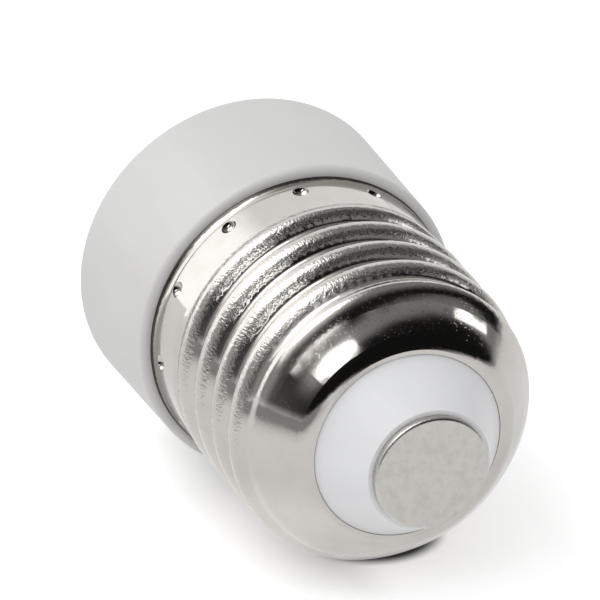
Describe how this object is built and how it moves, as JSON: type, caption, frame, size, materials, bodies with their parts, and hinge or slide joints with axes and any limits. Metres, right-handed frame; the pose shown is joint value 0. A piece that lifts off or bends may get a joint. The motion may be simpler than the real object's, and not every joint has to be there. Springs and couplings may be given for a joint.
{
  "type": "lamp socket adapter",
  "caption": "Screw-in lamp socket adapter with a large rolled metal screw cap on a white body, a domed insulated end contact and a small threaded socket inside.",
  "frame": {"origin": "centre of the socket mouth's rim, on the plane that the part stands on", "axes": "+Z along the screw axis from the socket mouth to the end contact, and the side wire lies on the +Y side"},
  "size_m": [0.028, 0.028, 0.0422],
  "materials": {
    "body_plastic": "satin moulded white",
    "nose_plastic": "satin moulded cool white",
    "nickel_plate": "bright nickel plate with fine rolling marks",
    "contact_plate": "satin nickel plate",
    "spring_bronze": "rolled strip",
    "rivet_brass": "bright",
    "solder": "dull tin",
    "copper_wire": "bare copper",
    "lead_jacket": "soft sleeve"
  },
  "bodies": {
    "root": {"housing": "body_plastic", "cap_insulator": "nose_plastic", "end_contact": "contact_plate", "screw_shell": "nickel_plate", "socket_sleeve": "nickel_plate", "contact_tongue": "spring_bronze", "tongue_rivet": "rivet_brass", "sleeve_lead_rivet": "rivet_brass", "sleeve_plain_rivet": "rivet_brass", "centre_solder": "solder", "side_solder": "solder", "centre_lead_core": "copper_wire", "centre_lead_jacket": "lead_jacket", "side_lead": "copper_wire"}
  },
  "joints": []
}
